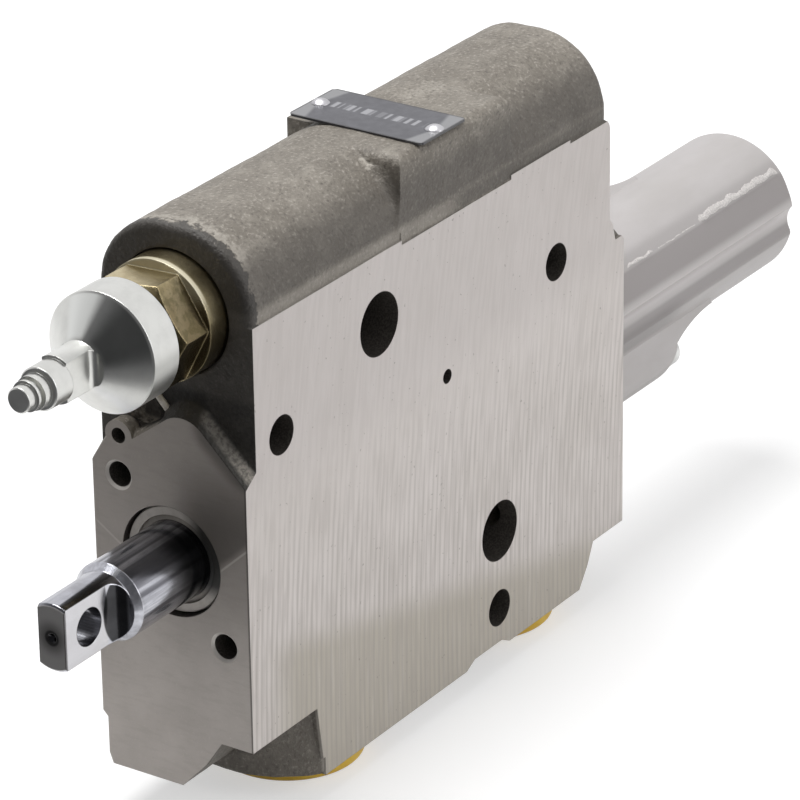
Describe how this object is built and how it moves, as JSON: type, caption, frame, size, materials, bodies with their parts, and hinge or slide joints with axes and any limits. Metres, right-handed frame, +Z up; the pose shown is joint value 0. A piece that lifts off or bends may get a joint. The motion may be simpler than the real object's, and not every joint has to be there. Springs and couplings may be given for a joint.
{
  "type": "directional control valve",
  "caption": "Working section of a sectional hydraulic directional control valve, with hand-lever spool eye, flow-setting spindle, spring cap and plugged work ports.",
  "frame": {"origin": "on the main spool's axis, in the machined front end face that takes the lever bracket", "axes": "+X along the spool from the lever end towards the spring cap, +Y across the section away from the plain machined face, +Z up, away from the work ports"},
  "size_m": [0.3362, 0.0473, 0.1656],
  "materials": {
    "cast_iron_body": "machined grey iron on the side faces, sand-cast skin elsewhere",
    "plate": "dark printed plate with light ends",
    "rivet_metal": "bright drawn metal",
    "seal_rubber": "black nitrile",
    "retainer_steel": "turned grey metal",
    "spool_steel": "hardened, ground and polished",
    "inner_steel": "plain machined steel",
    "spring_steel": "drawn spring wire",
    "cap_alloy": "die-cast light alloy with flash on its parting line",
    "screw_steel": "bright zinc",
    "plug_gold": "yellow passivated zinc",
    "spindle_steel": "turned bright zinc",
    "yellow_plastic": "moulded yellow polyethylene"
  },
  "bodies": {
    "body": {"valve_body": "cast_iron_body", "nameplate": "plate", "nameplate_rivets": "rivet_metal", "seal_retainer": "retainer_steel", "wiper_seal": "seal_rubber", "front_spool_seal": "seal_rubber", "rear_spool_seal": "seal_rubber", "rear_seal_washer": "inner_steel", "front_spring_cup": "inner_steel", "centring_spring": "spring_steel", "spring_cap": "cap_alloy", "cap_seal": "seal_rubber", "cap_screws": "screw_steel", "spindle_plug": "plug_gold", "plug_seal": "seal_rubber", "metering_sleeve": "inner_steel", "compensator_spring": "spring_steel", "spring_guide": "inner_steel", "shuttle_seat": "inner_steel", "gallery_seals": "seal_rubber", "pilot_seal": "seal_rubber", "port_plug_front": "yellow_plastic", "port_plug_rear": "yellow_plastic"},
    "spool": {"main_spool": "spool_steel", "bolt_sleeve": "inner_steel", "bolt_washer": "inner_steel", "spool_bolt": "screw_steel", "rear_spring_cup": "inner_steel"},
    "spindle": {"flow_spindle": "spindle_steel", "spindle_seal": "seal_rubber", "spindle_clip": "spring_steel", "throttle_drum": "inner_steel", "drum_pin": "inner_steel"},
    "compensator": {"compensator_spool": "inner_steel", "compensator_orifice": "inner_steel"},
    "shuttle": {"shuttle_ball": "inner_steel"}
  },
  "joints": [
    {"name": "spool_slide", "type": "slide", "parent": "body", "child": "spool", "axis": [1, 0, 0], "range_m": [-0.007, 0.007], "stiffness_N_per_m": 4000, "deforming": ["centring_spring"]},
    {"name": "flow_spindle_turn", "type": "hinge", "parent": "body", "child": "spindle", "pos_m": [0, 0, 0.0664], "axis": [1, 0, 0], "range_deg": [0, 270]},
    {"name": "compensator_slide", "type": "slide", "parent": "body", "child": "compensator", "axis": [1, 0, 0], "range_m": [0, 0.009], "stiffness_N_per_m": 3000, "springref_m": -0.003, "deforming": ["compensator_spring"]},
    {"name": "shuttle_ball_slide", "type": "slide", "parent": "body", "child": "shuttle", "axis": [0, 1, 0], "range_m": [0, 0.0006]}
  ]
}
